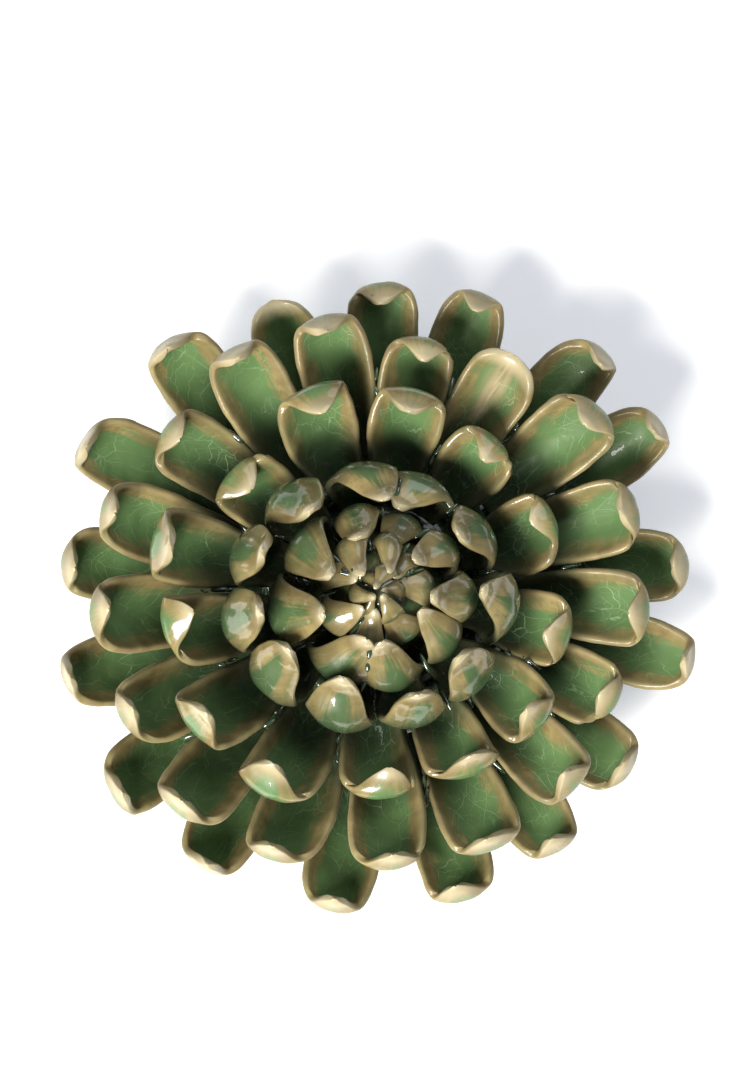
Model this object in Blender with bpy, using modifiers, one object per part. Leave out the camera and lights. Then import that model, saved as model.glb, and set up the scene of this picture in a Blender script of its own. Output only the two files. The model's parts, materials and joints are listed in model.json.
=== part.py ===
"""Glazed ceramic chrysanthemum, an ornament that lies on a table or hangs on a wall by a keyhole in its back.

Every petal is its own hand-pinched piece of clay: a leaf-shaped trough whose pointed end is folded back over
its inside. The petals stand in four rings on a hollow dome, and a bud of small scales closes the crown.

Frame: +Z is the flower's axis, the flat back lies on z = 0, and +Y is up when it hangs on a wall.
Lengths below are millimetres and angles are degrees; MM turns a length into Blender's metres.
"""

import math
from functools import lru_cache
from typing import NamedTuple

import bmesh
import bpy
from mathutils import Vector

MM = 0.001
GAP = 0.3  # air between one piece and the next, where slip joins them on the real flower

# The dome: an ellipse turned about Z, cut off flat where the bud sits.
DOME_RADIUS = 34.0
DOME_RISE = 27.0
DOME_BASE = 5.0  # the height of the ellipse's centre
DOME_WALL = 6.0
SEAT_HEIGHT = 29.6  # the flat top that carries the bud
FOOT_RADIUS = 36.0
FOOT_EDGE = 1.2
FLOOR = 5.0  # the thickness of the closed back
TURNED_STEPS = 36
DOME_STEPS = 9
HOLLOW_STEPS = 7
SHARP_ABOVE = 40.0  # edges that turn more than this are drawn as edges

# The keyhole in the back: a screw's head goes in at the round end, and its shank slides up the slot.
KEYHOLE_RADIUS = 5.5
KEYHOLE_CENTRE = 12.0
SLOT_WIDTH = 5.4
SLOT_TOP = 24.0
HOLE_STEPS = 24
SLOT_STEPS = 10
CUT_PAST = 2.0  # how far a cutter passes the faces that it cuts

PETAL_ACROSS = 4  # faces across a petal, rim to rim
PETAL_ALONG = 8
SCALE_ALONG = 6
TIP_HALF_WIDTH = 1.3
WIDEST_AT = 0.5  # share of a petal's length where it is widest
FULLNESS = 3.6  # how long a petal stays wide before it runs to its point
OGEE = 1.4  # how hollow the sides of the point are
OPEN_HOOK = 1.0  # a petal whose tip comes back less than this is open, and ends round
ROUND_END = 0.5
CUP_POWER = 2.2  # how steeply the sides of the trough rise
CUP_NARROWS = 1.4  # how fast the trough gets shallower where the petal gets narrower
FLAT_FROM = 0.45  # where the trough starts to flatten out, as a share of the way to the fold
FLAP_CUP = 0.18  # share of the depth that is left on the flap
FOLD_ROWS = 0.25  # share of a petal's faces, root to tip, that make its fold
KEEL_STEPS = 60
STEEP_SIDE = 205.0  # the azimuth towards which the petals stand steepest
STEEPER = 9.0  # how much steeper a level petal would stand there; one that is already upright hardly changes
LEAST_FOLD = 20.0
LEVEL_FLAP = 184.0  # the slope of a flap that has come right over
FOLD_TRIES = 20


class Petal(NamedTuple):
    """Where one petal points, how far out it reaches, and how far its tip hooks back towards the axis."""

    azimuth: float
    reach: float
    hook: float


class Ring(NamedTuple):
    """What the petals of one ring share. Shares are of a petal's length, measured from its root."""

    name: str
    root: tuple  # radius and height where the petals leave the dome
    rise: tuple  # the keel's slope at the root, and where the fold starts
    half_width: float
    root_width: float  # share of half_width at the root
    depth: float  # how far the rims stand above the keel
    thickness: float
    fold_at: float
    fold_share: float
    petals: tuple


def on_dome(angle, clear=0.0):
    """Radius and height of a point clear of the dome's surface, angle degrees up its ellipse."""
    a = math.radians(angle)
    return (DOME_RADIUS + clear) * math.cos(a), DOME_BASE + (DOME_RISE + clear) * math.sin(a)


OUTER = Ring(
    "petal_outer", on_dome(4, 0.3), (8, 42), 8.8, 0.5, 5.4, 2.3, 0.79, 0.15,
    (
        Petal(5, 73.8, 4.5), Petal(31, 78.0, 3.5), Petal(48, 78.2, 4.0), Petal(71, 75.0, 5.5),
        Petal(89, 73.4, 6.0), Petal(110, 74.0, 0.6), Petal(130, 77.5, 2.5), Petal(152, 78.2, 2.5),
        Petal(174, 74.8, 4.0), Petal(196, 76.6, 2.5), Petal(217, 78.6, 3.5), Petal(237, 77.0, 2.5),
        Petal(262, 75.9, 4.0), Petal(286, 75.7, 5.0), Petal(305, 74.8, 4.5), Petal(324, 73.4, 3.5),
        Petal(347, 76.6, 3.5),
    ),
)
SECOND = Ring(
    "petal_second", on_dome(22), (20, 50), 9.4, 0.5, 5.4, 2.3, 0.78, 0.15,
    (
        Petal(18, 63.8, 5.0), Petal(40, 67.4, 6.0), Petal(60, 64.8, 0.3), Petal(80, 60.8, 6.5),
        Petal(101, 65.8, 4.5), Petal(121, 66.3, 3.5), Petal(143, 62.8, 5.0), Petal(163, 67.2, 4.0),
        Petal(185, 67.2, 5.5), Petal(207, 66.5, 4.5), Petal(228, 69.2, 4.0), Petal(249, 66.8, 4.0),
        Petal(272, 64.7, 4.5), Petal(294, 65.8, 4.0), Petal(315, 64.9, 5.5), Petal(335, 61.6, 5.5),
        Petal(356, 63.7, 5.5),
    ),
)
THIRD = Ring(
    "petal_third", on_dome(38), (30, 58), 9.2, 0.52, 5.0, 2.3, 0.71, 0.18,
    (
        Petal(22, 45.0, 8.5), Petal(53, 45.4, 7.5), Petal(80, 48.2, 6.0), Petal(109, 50.6, 7.5),
        Petal(141, 44.6, 9.0), Petal(167, 53.6, 5.5), Petal(191, 50.6, 8.5), Petal(216, 53.4, 6.0),
        Petal(242, 53.6, 8.5), Petal(270, 48.0, 8.0), Petal(296, 47.8, 5.0), Petal(321, 49.0, 6.0),
        Petal(347, 46.0, 9.0),
    ),
)
INNER = Ring(
    "petal_inner", on_dome(56, 1.2), (18, 76), 8.6, 0.55, 3.4, 2.2, 0.46, 0.32,
    (
        Petal(29, 30.4, 8.0), Petal(65, 29.8, 9.0), Petal(100, 30.8, 9.0), Petal(136, 33.6, 9.5),
        Petal(165, 35.4, 7.5), Petal(192, 36.8, 10.0), Petal(219, 35.4, 12.0), Petal(253, 33.6, 12.5),
        Petal(285, 32.6, 8.0), Petal(315, 32.6, 9.5), Petal(352, 32.8, 9.5),
    ),
)
RINGS = (OUTER, SECOND, THIRD, INNER)

# The bud: a turned heart with two rings of scales and a few pips at its crown, all luted into one piece.
BUD_HEART = ((10.5, 0.0), (13.0, 3.5), (13.5, 9.0), (11.0, 15.5), (6.5, 20.5), (0.0, 23.0))
SCALES = (
    Ring(
        "scale_outer", (9.5, 33.0), (2, 76), 7.6, 0.6, 2.8, 2.0, 0.44, 0.30,
        (
            Petal(357, 23.2, 11.0), Petal(32, 21.4, 10.5), Petal(68, 18.8, 8.0), Petal(105, 20.6, 7.8),
            Petal(143, 24.0, 13.0), Petal(190, 26.0, 13.0), Petal(239, 23.2, 13.0), Petal(284, 23.2, 12.5),
            Petal(321, 22.6, 13.0),
        ),
    ),
    Ring(
        "scale_inner", (5.0, 41.0), (8, 78), 5.6, 0.6, 1.8, 1.8, 0.44, 0.32,
        (
            Petal(8, 12.2, 7.5), Petal(45, 12.8, 6.5), Petal(80, 14.0, 8.0), Petal(112, 14.4, 7.5),
            Petal(160, 12.6, 5.5), Petal(203, 14.2, 8.5), Petal(258, 11.2, 7.5), Petal(306, 12.0, 6.5),
        ),
    ),
    Ring(
        "pip", (1.5, 47.5), (20, 84), 2.7, 0.7, 0.8, 1.6, 0.44, 0.34,
        (
            Petal(12, 6.2, 3.6), Petal(66, 6.6, 3.8), Petal(124, 5.8, 3.4), Petal(178, 6.4, 3.8),
            Petal(240, 6.0, 3.6), Petal(300, 6.6, 3.8),
        ),
    ),
)

# Principled BSDF values: base colour, roughness, metallic.
GREEN_GLAZE = ((0.13, 0.26, 0.13), 0.15, 0.0)
OLIVE_GLAZE = ((0.34, 0.30, 0.15), 0.15, 0.0)
BARE_CLAY = ((0.58, 0.52, 0.42), 0.70, 0.0)


def clear_scene():
    for obj in list(bpy.data.objects):
        bpy.data.objects.remove(obj)


def new_collection(name):
    collection = bpy.data.collections.new(name)
    bpy.context.scene.collection.children.link(collection)
    return collection


def make_material(name, values):
    colour, roughness, metallic = values
    material = bpy.data.materials.new(name)
    material.use_nodes = True
    shader = material.node_tree.nodes["Principled BSDF"]
    shader.inputs["Base Color"].default_value = (*colour, 1.0)
    shader.inputs["Roughness"].default_value = roughness
    shader.inputs["Metallic"].default_value = metallic
    return material


def make_object(name, mesh, collection, material):
    obj = bpy.data.objects.new(name, mesh)
    obj.data.materials.append(material)
    collection.objects.link(obj)
    return obj


def mesh_from(name, bm):
    mesh = bpy.data.meshes.new(name)
    bm.to_mesh(mesh)
    bm.free()
    mesh.shade_smooth()
    return mesh


def applied(obj):
    """The object with its modifiers made part of its mesh."""
    graph = bpy.context.evaluated_depsgraph_get()
    mesh = bpy.data.meshes.new_from_object(obj.evaluated_get(graph))
    mesh.shade_smooth()
    mesh.set_sharp_from_angle(angle=math.radians(SHARP_ABOVE))
    obj.modifiers.clear()
    obj.data = mesh
    return obj


def boolean(obj, operation, **target):
    modifier = obj.modifiers.new(operation.lower(), "BOOLEAN")
    modifier.operation = operation
    modifier.solver = "EXACT"
    if "collection" in target:
        modifier.operand_type = "COLLECTION"
        modifier.collection = target["collection"]
    else:
        modifier.object = target["object"]
    return applied(obj)


def helper(obj):
    """A cutter or a piece to be joined, which is no part of the model itself."""
    obj.hide_render = True
    obj.display_type = "WIRE"
    return obj


def turned(name, profile, collection, material):
    """A solid of revolution. Its profile runs top to bottom, from the axis round the outside to the axis."""
    bm = bmesh.new()
    points = [bm.verts.new((r * MM, 0.0, z * MM)) for r, z in profile]
    for a, b in zip(points, points[1:]):
        bm.edges.new((a, b))
    obj = make_object(name, mesh_from(name, bm), collection, material)
    screw = obj.modifiers.new("turn", "SCREW")
    screw.steps = screw.render_steps = TURNED_STEPS
    screw.use_merge_vertices = True
    screw.merge_threshold = 0.0001
    return applied(obj)


def ellipse_arc(radius, rise, base, top, bottom, steps):
    """Points down an ellipse, from height top to height bottom."""
    start = math.asin((top - base) / rise)
    end = math.asin((bottom - base) / rise)
    angles = [start + (end - start) * i / steps for i in range(steps + 1)]
    return [(radius * math.cos(a), base + rise * math.sin(a)) for a in angles]


def make_base(collection, cutters, material):
    """The hollow dome with its closed back, in one piece, and the keyhole cut through the back."""
    outside = ellipse_arc(DOME_RADIUS, DOME_RISE, DOME_BASE, SEAT_HEIGHT, FLOOR + FOOT_EDGE, DOME_STEPS)
    foot = [
        (FOOT_RADIUS - FOOT_EDGE, FLOOR),
        (FOOT_RADIUS, FLOOR - FOOT_EDGE),
        (FOOT_RADIUS, FOOT_EDGE),
        (FOOT_RADIUS - FOOT_EDGE, 0.0),
    ]
    base = turned("base", [(0.0, SEAT_HEIGHT), *outside, *foot, (0.0, 0.0)], collection, material)
    ceiling = SEAT_HEIGHT - DOME_WALL
    inside = ellipse_arc(
        DOME_RADIUS - DOME_WALL, DOME_RISE - DOME_WALL / 2, FLOOR, ceiling, FLOOR, HOLLOW_STEPS
    )
    hollow = turned("hollow", [(0.0, ceiling), *inside, (0.0, FLOOR)], cutters, material)
    boolean(base, "DIFFERENCE", object=helper(hollow))
    return boolean(base, "DIFFERENCE", object=make_keyhole(cutters, material))


def make_keyhole(cutters, material):
    """The keyhole, a round end below and a slot above it, as a prism longer than the back is thick."""
    half_slot = SLOT_WIDTH / 2
    joins = math.asin(half_slot / KEYHOLE_RADIUS)
    sweep = 2 * math.pi - 2 * joins
    round_end = [
        (KEYHOLE_RADIUS * math.sin(a), KEYHOLE_CENTRE + KEYHOLE_RADIUS * math.cos(a))
        for a in (joins + sweep * i / HOLE_STEPS for i in range(HOLE_STEPS + 1))
    ]
    slot_centre = SLOT_TOP - half_slot
    slot_end = [
        (-half_slot * math.cos(a), slot_centre + half_slot * math.sin(a))
        for a in (math.pi * i / SLOT_STEPS for i in range(SLOT_STEPS + 1))
    ]
    bm = bmesh.new()
    outline = [bm.verts.new((x * MM, y * MM, -CUT_PAST * MM)) for x, y in round_end + slot_end]
    face = bm.faces.new(outline)
    lifted = bmesh.ops.extrude_face_region(bm, geom=[face])["geom"]
    top = [v for v in lifted if isinstance(v, bmesh.types.BMVert)]
    bmesh.ops.translate(bm, verts=top, vec=Vector((0, 0, (FLOOR + 2 * CUT_PAST) * MM)))
    bmesh.ops.recalc_face_normals(bm, faces=bm.faces)
    return helper(make_object("keyhole", mesh_from("keyhole", bm), cutters, material))


def smooth(low, high, x):
    """0 below low, 1 above high, and an even S between them."""
    s = min(1.0, max(0.0, (x - low) / (high - low)))
    return s * s * (3 - 2 * s)


def blend(a, b, share):
    return a + (b - a) * share


def folded_keel(ring, petal, fold):
    """The keel folded by this many degrees: (radius, height, slope in radians) from root to tip."""
    steeper = math.cos(math.radians(petal.azimuth - STEEP_SIDE)) * math.cos(math.radians(ring.rise[1]))
    root, body = math.radians(ring.rise[0]), math.radians(ring.rise[1] + STEEPER * steeper)
    flap = body + math.radians(fold)
    out, up, rows = 0.0, 0.0, []
    for i in range(KEEL_STEPS + 1):
        t = i / KEEL_STEPS
        slope = blend(root, body, min(1.0, t / ring.fold_at))
        slope = blend(slope, flap, smooth(ring.fold_at, ring.fold_at + ring.fold_share, t))
        rows.append((out, up, slope))
        out += math.cos(slope) / KEEL_STEPS
        up += math.sin(slope) / KEEL_STEPS
    half_clay = ring.thickness / 2
    start = ring.root[0] + GAP + half_clay * abs(math.sin(root))
    length = (petal.reach - half_clay - start) / max(row[0] for row in rows)
    return [(start + length * o, ring.root[1] + length * u, s) for o, u, s in rows]


@lru_cache(maxsize=None)
def keel(ring, petal):
    """The keel whose fold brings its tip back by the petal's hook, or as near to it as a level flap comes."""
    low, high = LEAST_FOLD, LEVEL_FLAP - ring.rise[1]
    for _ in range(FOLD_TRIES):
        fold = (low + high) / 2
        rows = folded_keel(ring, petal, fold)
        if petal.reach - rows[-1][0] < petal.hook:
            low = fold
        else:
            high = fold
    return rows


def half_width(ring, petal, t):
    """Half a petal's width where nothing presses on it: an opening wedge, then an ogee or a round end."""
    if t < WIDEST_AT:
        return ring.half_width * blend(ring.root_width, 1.0, math.sin(math.pi / 2 * t / WIDEST_AT))
    end = ROUND_END if petal.hook < OPEN_HOOK else OGEE
    share = (1 - ((t - WIDEST_AT) / (1 - WIDEST_AT)) ** FULLNESS) ** end
    return max(ring.half_width * share, TIP_HALF_WIDTH)


def side_room(ring, index):
    """The angles from a petal's keel to the planes half way to its neighbours, on each side of it."""
    azimuths = [p.azimuth for p in ring.petals]
    here = azimuths[index]
    before = (here - azimuths[index - 1]) % 360
    after = (azimuths[(index + 1) % len(azimuths)] - here) % 360
    return math.radians(before / 2), math.radians(after / 2)


def cup_depth(ring, t, half):
    """How far the rims stand above the keel. The trough flattens out before the fold, so that it can bend."""
    fold_middle = ring.fold_at + ring.fold_share / 2
    open_share = min(1.0, max(0.0, (fold_middle - t) / (fold_middle - FLAT_FROM * ring.fold_at)))
    return ring.depth * (half / ring.half_width) ** CUP_NARROWS * blend(FLAP_CUP, 1.0, open_share)


def petal_point(ring, index, t, u):
    """A point of the petal's middle surface. t runs from 0 at the root to 1 at the tip, u from rim to rim."""
    rows = keel(ring, ring.petals[index])
    row = min(int(t * KEEL_STEPS), KEEL_STEPS - 1)
    radius, height, slope = (
        blend(a, b, t * KEEL_STEPS - row) for a, b in zip(rows[row], rows[row + 1])
    )
    half = half_width(ring, ring.petals[index], t)
    room = side_room(ring, index)[0 if u < 0 else 1]
    lift = cup_depth(ring, t, half) * abs(u) ** CUP_POWER
    out = radius - lift * math.sin(slope)
    widest = out * math.tan(room) - ring.thickness / 2 - GAP / 2
    return Vector((out, u * min(half, widest), height + lift * math.cos(slope)))


def stations(ring, count):
    """Where a petal's rows lie: some faces over its fold, one on the flap past it, and the rest before it."""
    on_fold = max(2, round(count * FOLD_ROWS))
    on_body = count - on_fold - 1
    body = [ring.fold_at * i / on_body for i in range(on_body)]
    fold = [ring.fold_at + ring.fold_share * i / on_fold for i in range(on_fold + 1)]
    return body + fold + [1.0]


def make_petal(ring, index, rows, collection, material):
    """One petal: a flat grid bent into the trough, then given the clay's thickness."""
    along = stations(ring, rows)
    bm = bmesh.new()
    bmesh.ops.create_grid(bm, x_segments=PETAL_ACROSS, y_segments=rows, size=1.0)
    turn = math.radians(ring.petals[index].azimuth)
    for vert in bm.verts:
        row = round((vert.co.y + 1) / 2 * rows)
        point = petal_point(ring, index, along[row], vert.co.x)
        vert.co = point * MM
    name = f"{ring.name}_{index + 1:02d}"
    obj = make_object(name, mesh_from(name, bm), collection, material)
    obj.rotation_euler.z = turn
    shell = obj.modifiers.new("clay", "SOLIDIFY")
    shell.thickness = ring.thickness * MM
    shell.offset = 0.0
    shell.use_even_offset = True
    return obj


def make_bud(collection, scales, material):
    """The crown: a turned heart with its scales and pips joined to it."""
    seat = SEAT_HEIGHT + GAP
    heart = [(r, seat + z) for r, z in reversed(BUD_HEART)]
    bud = turned("centre_bud", [*heart, (0.0, seat)], collection, material)
    for ring in SCALES:
        for index in range(len(ring.petals)):
            scale = make_petal(ring, index, SCALE_ALONG, scales, material)
            bpy.context.view_layer.update()
            helper(applied(scale))
    return boolean(bud, "UNION", collection=scales)


def main():
    clear_scene()
    flower = new_collection("ceramic_chrysanthemum")
    helpers = new_collection("cutters")
    scales = new_collection("scales")
    green = make_material("green_glaze", GREEN_GLAZE)
    olive = make_material("olive_glaze", OLIVE_GLAZE)
    clay = make_material("bare_clay", BARE_CLAY)
    make_base(flower, helpers, clay)
    make_bud(flower, scales, olive)
    for ring in RINGS:
        for index in range(len(ring.petals)):
            make_petal(ring, index, PETAL_ALONG, flower, green)


main()
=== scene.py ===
"""The looks of the glazed ceramic chrysanthemum: each petal and scale is a pinched piece of clay, glazed.

Lengths are millimetres and angles are degrees, until MM turns a length into metres. +Z is the flower's axis.
"""

import json
import math
import random
from typing import NamedTuple

import bmesh
import bpy
from mathutils import Matrix, Vector
from mathutils.bvhtree import BVHTree

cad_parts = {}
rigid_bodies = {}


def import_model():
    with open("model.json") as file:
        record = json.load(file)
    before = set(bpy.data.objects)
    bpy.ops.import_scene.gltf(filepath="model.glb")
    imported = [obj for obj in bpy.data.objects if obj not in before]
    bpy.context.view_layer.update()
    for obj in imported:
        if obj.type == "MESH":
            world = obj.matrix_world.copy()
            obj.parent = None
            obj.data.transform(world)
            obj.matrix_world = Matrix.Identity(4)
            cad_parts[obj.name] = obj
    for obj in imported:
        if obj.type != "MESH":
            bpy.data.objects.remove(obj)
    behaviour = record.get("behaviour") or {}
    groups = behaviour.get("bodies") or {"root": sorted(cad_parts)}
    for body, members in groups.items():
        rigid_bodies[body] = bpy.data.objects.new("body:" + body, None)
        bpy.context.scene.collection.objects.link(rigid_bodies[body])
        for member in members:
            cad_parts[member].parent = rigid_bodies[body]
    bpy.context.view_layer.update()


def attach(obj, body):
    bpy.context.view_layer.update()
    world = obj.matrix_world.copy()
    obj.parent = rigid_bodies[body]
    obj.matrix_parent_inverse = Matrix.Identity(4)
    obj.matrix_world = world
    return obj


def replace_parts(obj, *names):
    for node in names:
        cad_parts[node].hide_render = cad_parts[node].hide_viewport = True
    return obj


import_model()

MM = 0.001

# The dome that carries the petals, its foot, its hollow and the keyhole in its back, as in the CAD.
DOME_RADIUS = 34.0
DOME_RISE = 27.0
DOME_BASE = 5.0
DOME_WALL = 6.0
SEAT_HEIGHT = 29.6
FOOT_RADIUS = 36.0
FOOT_EDGE = 1.2
FLOOR = 5.0
KEYHOLE_RADIUS = 5.5
KEYHOLE_CENTRE = 12.0
SLOT_WIDTH = 5.4
SLOT_TOP = 24.0
SHARP_ABOVE = 40.0  # edges that turn more than this are drawn as edges
SPUN_SHARP_ABOVE = 50.0  # the same on a turned piece that isn't cut
DOME_STEPS = 40
HOLLOW_STEPS = 30
FOOT_STEPS = 6
HOLE_STEPS = 60
SLOT_STEPS = 24
CUT_PAST = 2.0  # how far a cutter passes the faces that it cuts

ROWS = 22  # faces along a petal
ROW_CROWDING = 1.2  # above 1, the rows stand closer together towards the tip
COLUMNS = (-1.0, -0.87, -0.66, -0.36, 0.0, 0.36, 0.66, 0.87, 1.0)  # rim to rim
FINE = 2  # subdivision levels
WIDEST_AT = 0.5  # share of a petal's length where it is widest
OGEE = 1.5  # how hollow the sides of the point are
OPEN_HOOK = 1.0  # a petal whose tip comes back less than this is open, and ends round
ROUND_END = 0.5
BLUNT_TIP = 1.3
NUB_TURN = 44.0  # how far the tip turns up again
ROUND_NOSE = 1.9  # how far back from the tip the clay starts to round off
LEAST_NOSE = 0.05  # the square of the share of the clay's size that is left at the very tip
CUP_POWER = 2.3  # how steeply the sides of the trough rise
CUP_NARROWS = 1.3  # how fast the trough gets shallower where the petal gets narrower
FLAT_FROM = 0.55  # where the trough starts to flatten out, as a share of the way to the fold
RIM_WAVES = 9  # radians of the rims' wave from root to tip
RIM_WAVE_POWER = 3  # how closely the wave keeps to the rims
TWIST_SPAN = (0.2, 0.9)  # shares of the length between which the twist grows
LEAN_FROM = 0.9  # where the tip starts to be pulled sideways, as a share of the way to the fold
PRESS_SHARPNESS = 6  # how suddenly a petal gives way to its neighbours
LEAST_ROOM = 0.5
TIP_AS_RIM = 0.8  # the tip counts as a rim at this share of its distance
STREAK_WIDTH = 0.34  # of a worn streak, as a share of the half width
STEEP_SIDE = 205.0  # the azimuth towards which the petals stand steepest
STEEPER = 9.0  # how much steeper a level petal would stand there; one that is already upright hardly changes
KEEL_STEPS = 80
LEAST_FOLD = 20.0
LEVEL_FLAP = 184.0  # the slope of a flap that has come right over
FOLD_TRIES = 20
GAP = 0.3
FINGER_MARKS = 0.6  # from the lowest to the highest place that fingers left in a petal's surface
FINGER_SIZE = 6.5  # how large the marks are
SEGMENTS = 128  # round a turned piece

# The bud's heart, and the glaze pooled round its foot.
HEART_BASE = 30.2
HEART_TOP = 54.0
HEART_RADIUS = 16.0
HEART_FOOT = 0.8  # share of its radius at the foot
HEART_STEPS = 20
HEART_LUMPS = 1.6
POOL_RADIUS = 25.5
POOL_HALF = 2.2
POOL_HEIGHT = 27.5
POOL_LUMPS = 2.4
POOL_SEGMENTS = 160
POOL_SIDES = 16
RIM_THINNER = 0.8  # share of the clay's thickness that is left at the rims


class Petal(NamedTuple):
    """Where one petal points, how far it reaches, and how far its tip hooks back towards the axis.

    lean is how far the tip is pulled sideways, anticlockwise from above, and width a share of its ring's.
    streak is how far the glaze has worn off along its middle."""

    azimuth: float
    reach: float
    hook: float
    lean: float = 0.0
    width: float = 1.0
    streak: float = 0.0


class Ring(NamedTuple):
    """What the petals of one ring share. Shares are of a petal's length, measured from its root."""

    name: str
    slot: str
    root: tuple
    rise: tuple
    half_width: float
    root_width: float
    depth: float
    flap_depth: float  # share of the depth that is left on the folded end
    thickness: float
    fold_at: float
    fold_share: float
    fullness: float  # how long a petal stays wide before it runs to its point
    nub_from: float  # where the tip starts to turn up again
    petals: tuple


def on_dome(angle, clear=0.0):
    """Radius and height of a point clear of the dome's surface, angle degrees up its ellipse."""
    a = math.radians(angle)
    return (DOME_RADIUS + clear) * math.cos(a), DOME_BASE + (DOME_RISE + clear) * math.sin(a)


OUTER = Ring(
    "petal_outer", "green_glaze", on_dome(4, 0.3), (8, 42), 9.0, 0.55, 7.0, 0.42, 2.3, 0.79, 0.14, 4.2, 0.87,
    (
        Petal(5, 73.8, 4.5, 0), Petal(31, 78.0, 3.5, -1), Petal(48, 78.2, 4.0, -3), Petal(71, 75.0, 5.5, 0),
        Petal(89, 73.4, 6.0, 0.5), Petal(110, 74.0, 0.6, 0), Petal(130, 77.5, 2.5, 1),
        Petal(152, 78.2, 2.5, 2), Petal(174, 74.8, 4.0, 1.5), Petal(196, 76.6, 2.5, -1),
        Petal(217, 78.6, 3.5, 1), Petal(237, 77.0, 2.5, 1), Petal(262, 75.9, 4.0, 0),
        Petal(286, 75.7, 5.0, -1.5), Petal(305, 74.8, 4.5, 0), Petal(324, 73.4, 3.5, 1),
        Petal(347, 76.6, 3.5, 1),
    ),
)
SECOND = Ring(
    "petal_second", "green_glaze", on_dome(22), (20, 50), 9.7, 0.55, 7.2, 0.42, 2.3, 0.78, 0.14, 4.4, 0.87,
    (
        Petal(18, 63.8, 5.0, 0.5), Petal(40, 67.4, 6.0, -1), Petal(60, 64.8, 0.3, 0, 1.1, 1.0),
        Petal(80, 60.8, 6.5, -1), Petal(101, 65.8, 4.5, 0.5), Petal(121, 66.3, 3.5, 0),
        Petal(143, 62.8, 5.0, -1), Petal(163, 67.2, 4.0, 0), Petal(185, 67.2, 5.5, -2),
        Petal(207, 66.5, 4.5, -2), Petal(228, 69.2, 4.0, -2), Petal(249, 66.8, 4.0, -2),
        Petal(272, 64.7, 4.5, 1.5), Petal(294, 65.8, 4.0, 0), Petal(315, 64.9, 5.5, 1),
        Petal(335, 61.6, 5.5, 0.5), Petal(356, 63.7, 5.5, -0.5),
    ),
)
THIRD = Ring(
    "petal_third", "green_glaze", on_dome(38), (30, 58), 9.4, 0.55, 6.4, 0.40, 2.3, 0.71, 0.17, 3.8, 0.85,
    (
        Petal(22, 45.0, 8.5, 2), Petal(53, 45.4, 7.5, -1), Petal(80, 48.2, 6.0, 0.5),
        Petal(109, 50.6, 7.5, -1.5), Petal(141, 44.6, 9.0, 0), Petal(167, 53.6, 5.5, 0.5),
        Petal(191, 50.6, 8.5, -4), Petal(216, 53.4, 6.0, -1), Petal(242, 53.6, 8.5, -3),
        Petal(270, 48.0, 8.0, 2.5), Petal(296, 47.8, 5.0, 3), Petal(321, 49.0, 6.0, 0.5),
        Petal(347, 46.0, 9.0, -0.5),
    ),
)
INNER = Ring(
    "petal_inner", "green_glaze", on_dome(56, 1.2), (18, 76), 9.4, 0.6, 4.8, 0.65, 2.2, 0.44, 0.34, 2.2, 0.74,
    (
        Petal(29, 30.4, 8.0, 3), Petal(65, 29.8, 10.5, 4), Petal(100, 30.8, 10.0, -5),
        Petal(136, 33.6, 9.5, -3), Petal(165, 35.4, 7.5, -2.5), Petal(192, 36.8, 10.0, -2),
        Petal(219, 35.4, 12.0, -3), Petal(253, 33.6, 13.0, -2), Petal(285, 32.6, 8.0, 3),
        Petal(315, 32.6, 9.5, 3), Petal(352, 32.8, 9.5, 4),
    ),
)
SCALE_OUTER = Ring(
    "scale_outer", "olive_glaze", (9.5, 33.0), (2, 76), 9.2, 0.75, 4.6, 0.8, 2.0, 0.42, 0.34, 1.9, 0.74,
    (
        Petal(357, 23.2, 11.0, 0), Petal(32, 21.4, 10.5, 2), Petal(68, 19.8, 8.5, 2),
        Petal(105, 21.4, 7.8, 1), Petal(143, 24.0, 13.0, 3), Petal(190, 26.0, 13.0, 2),
        Petal(239, 23.2, 13.0, 3), Petal(284, 23.2, 12.5, -2), Petal(321, 22.6, 13.0, 3),
    ),
)
SCALE_INNER = Ring(
    "scale_inner", "olive_glaze", (4.5, 41.0), (8, 76), 7.6, 0.8, 3.2, 0.9, 1.8, 0.44, 0.34, 1.8, 0.76,
    (
        Petal(8, 13.4, 9.0, 1), Petal(47, 12.6, 7.6, 0), Petal(82, 14.6, 9.6, -1.5),
        Petal(114, 15.4, 10.0, 1.5), Petal(160, 14.4, 8.6, -1.5), Petal(203, 14.8, 10.4, 1.5),
        Petal(256, 14.0, 10.4, 0), Petal(306, 13.4, 8.8, -1),
    ),
)
PIP = Ring(
    "pip", "olive_glaze", (0.8, 46.5), (30, 80), 3.6, 0.8, 1.2, 0.9, 1.6, 0.46, 0.34, 2.3, 0.8,
    (
        Petal(12, 6.4, 5.6, 0.6), Petal(66, 7.4, 6.6, 1.2), Petal(124, 5.8, 4.6, -0.6),
        Petal(178, 7.0, 6.0, 0.8), Petal(240, 6.2, 5.4, -0.8), Petal(300, 7.2, 6.4, 0.6),
    ),
)
PETAL_RINGS = (OUTER, SECOND, THIRD, INNER)
BUD_RINGS = (SCALE_OUTER, SCALE_INNER, PIP)
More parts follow.
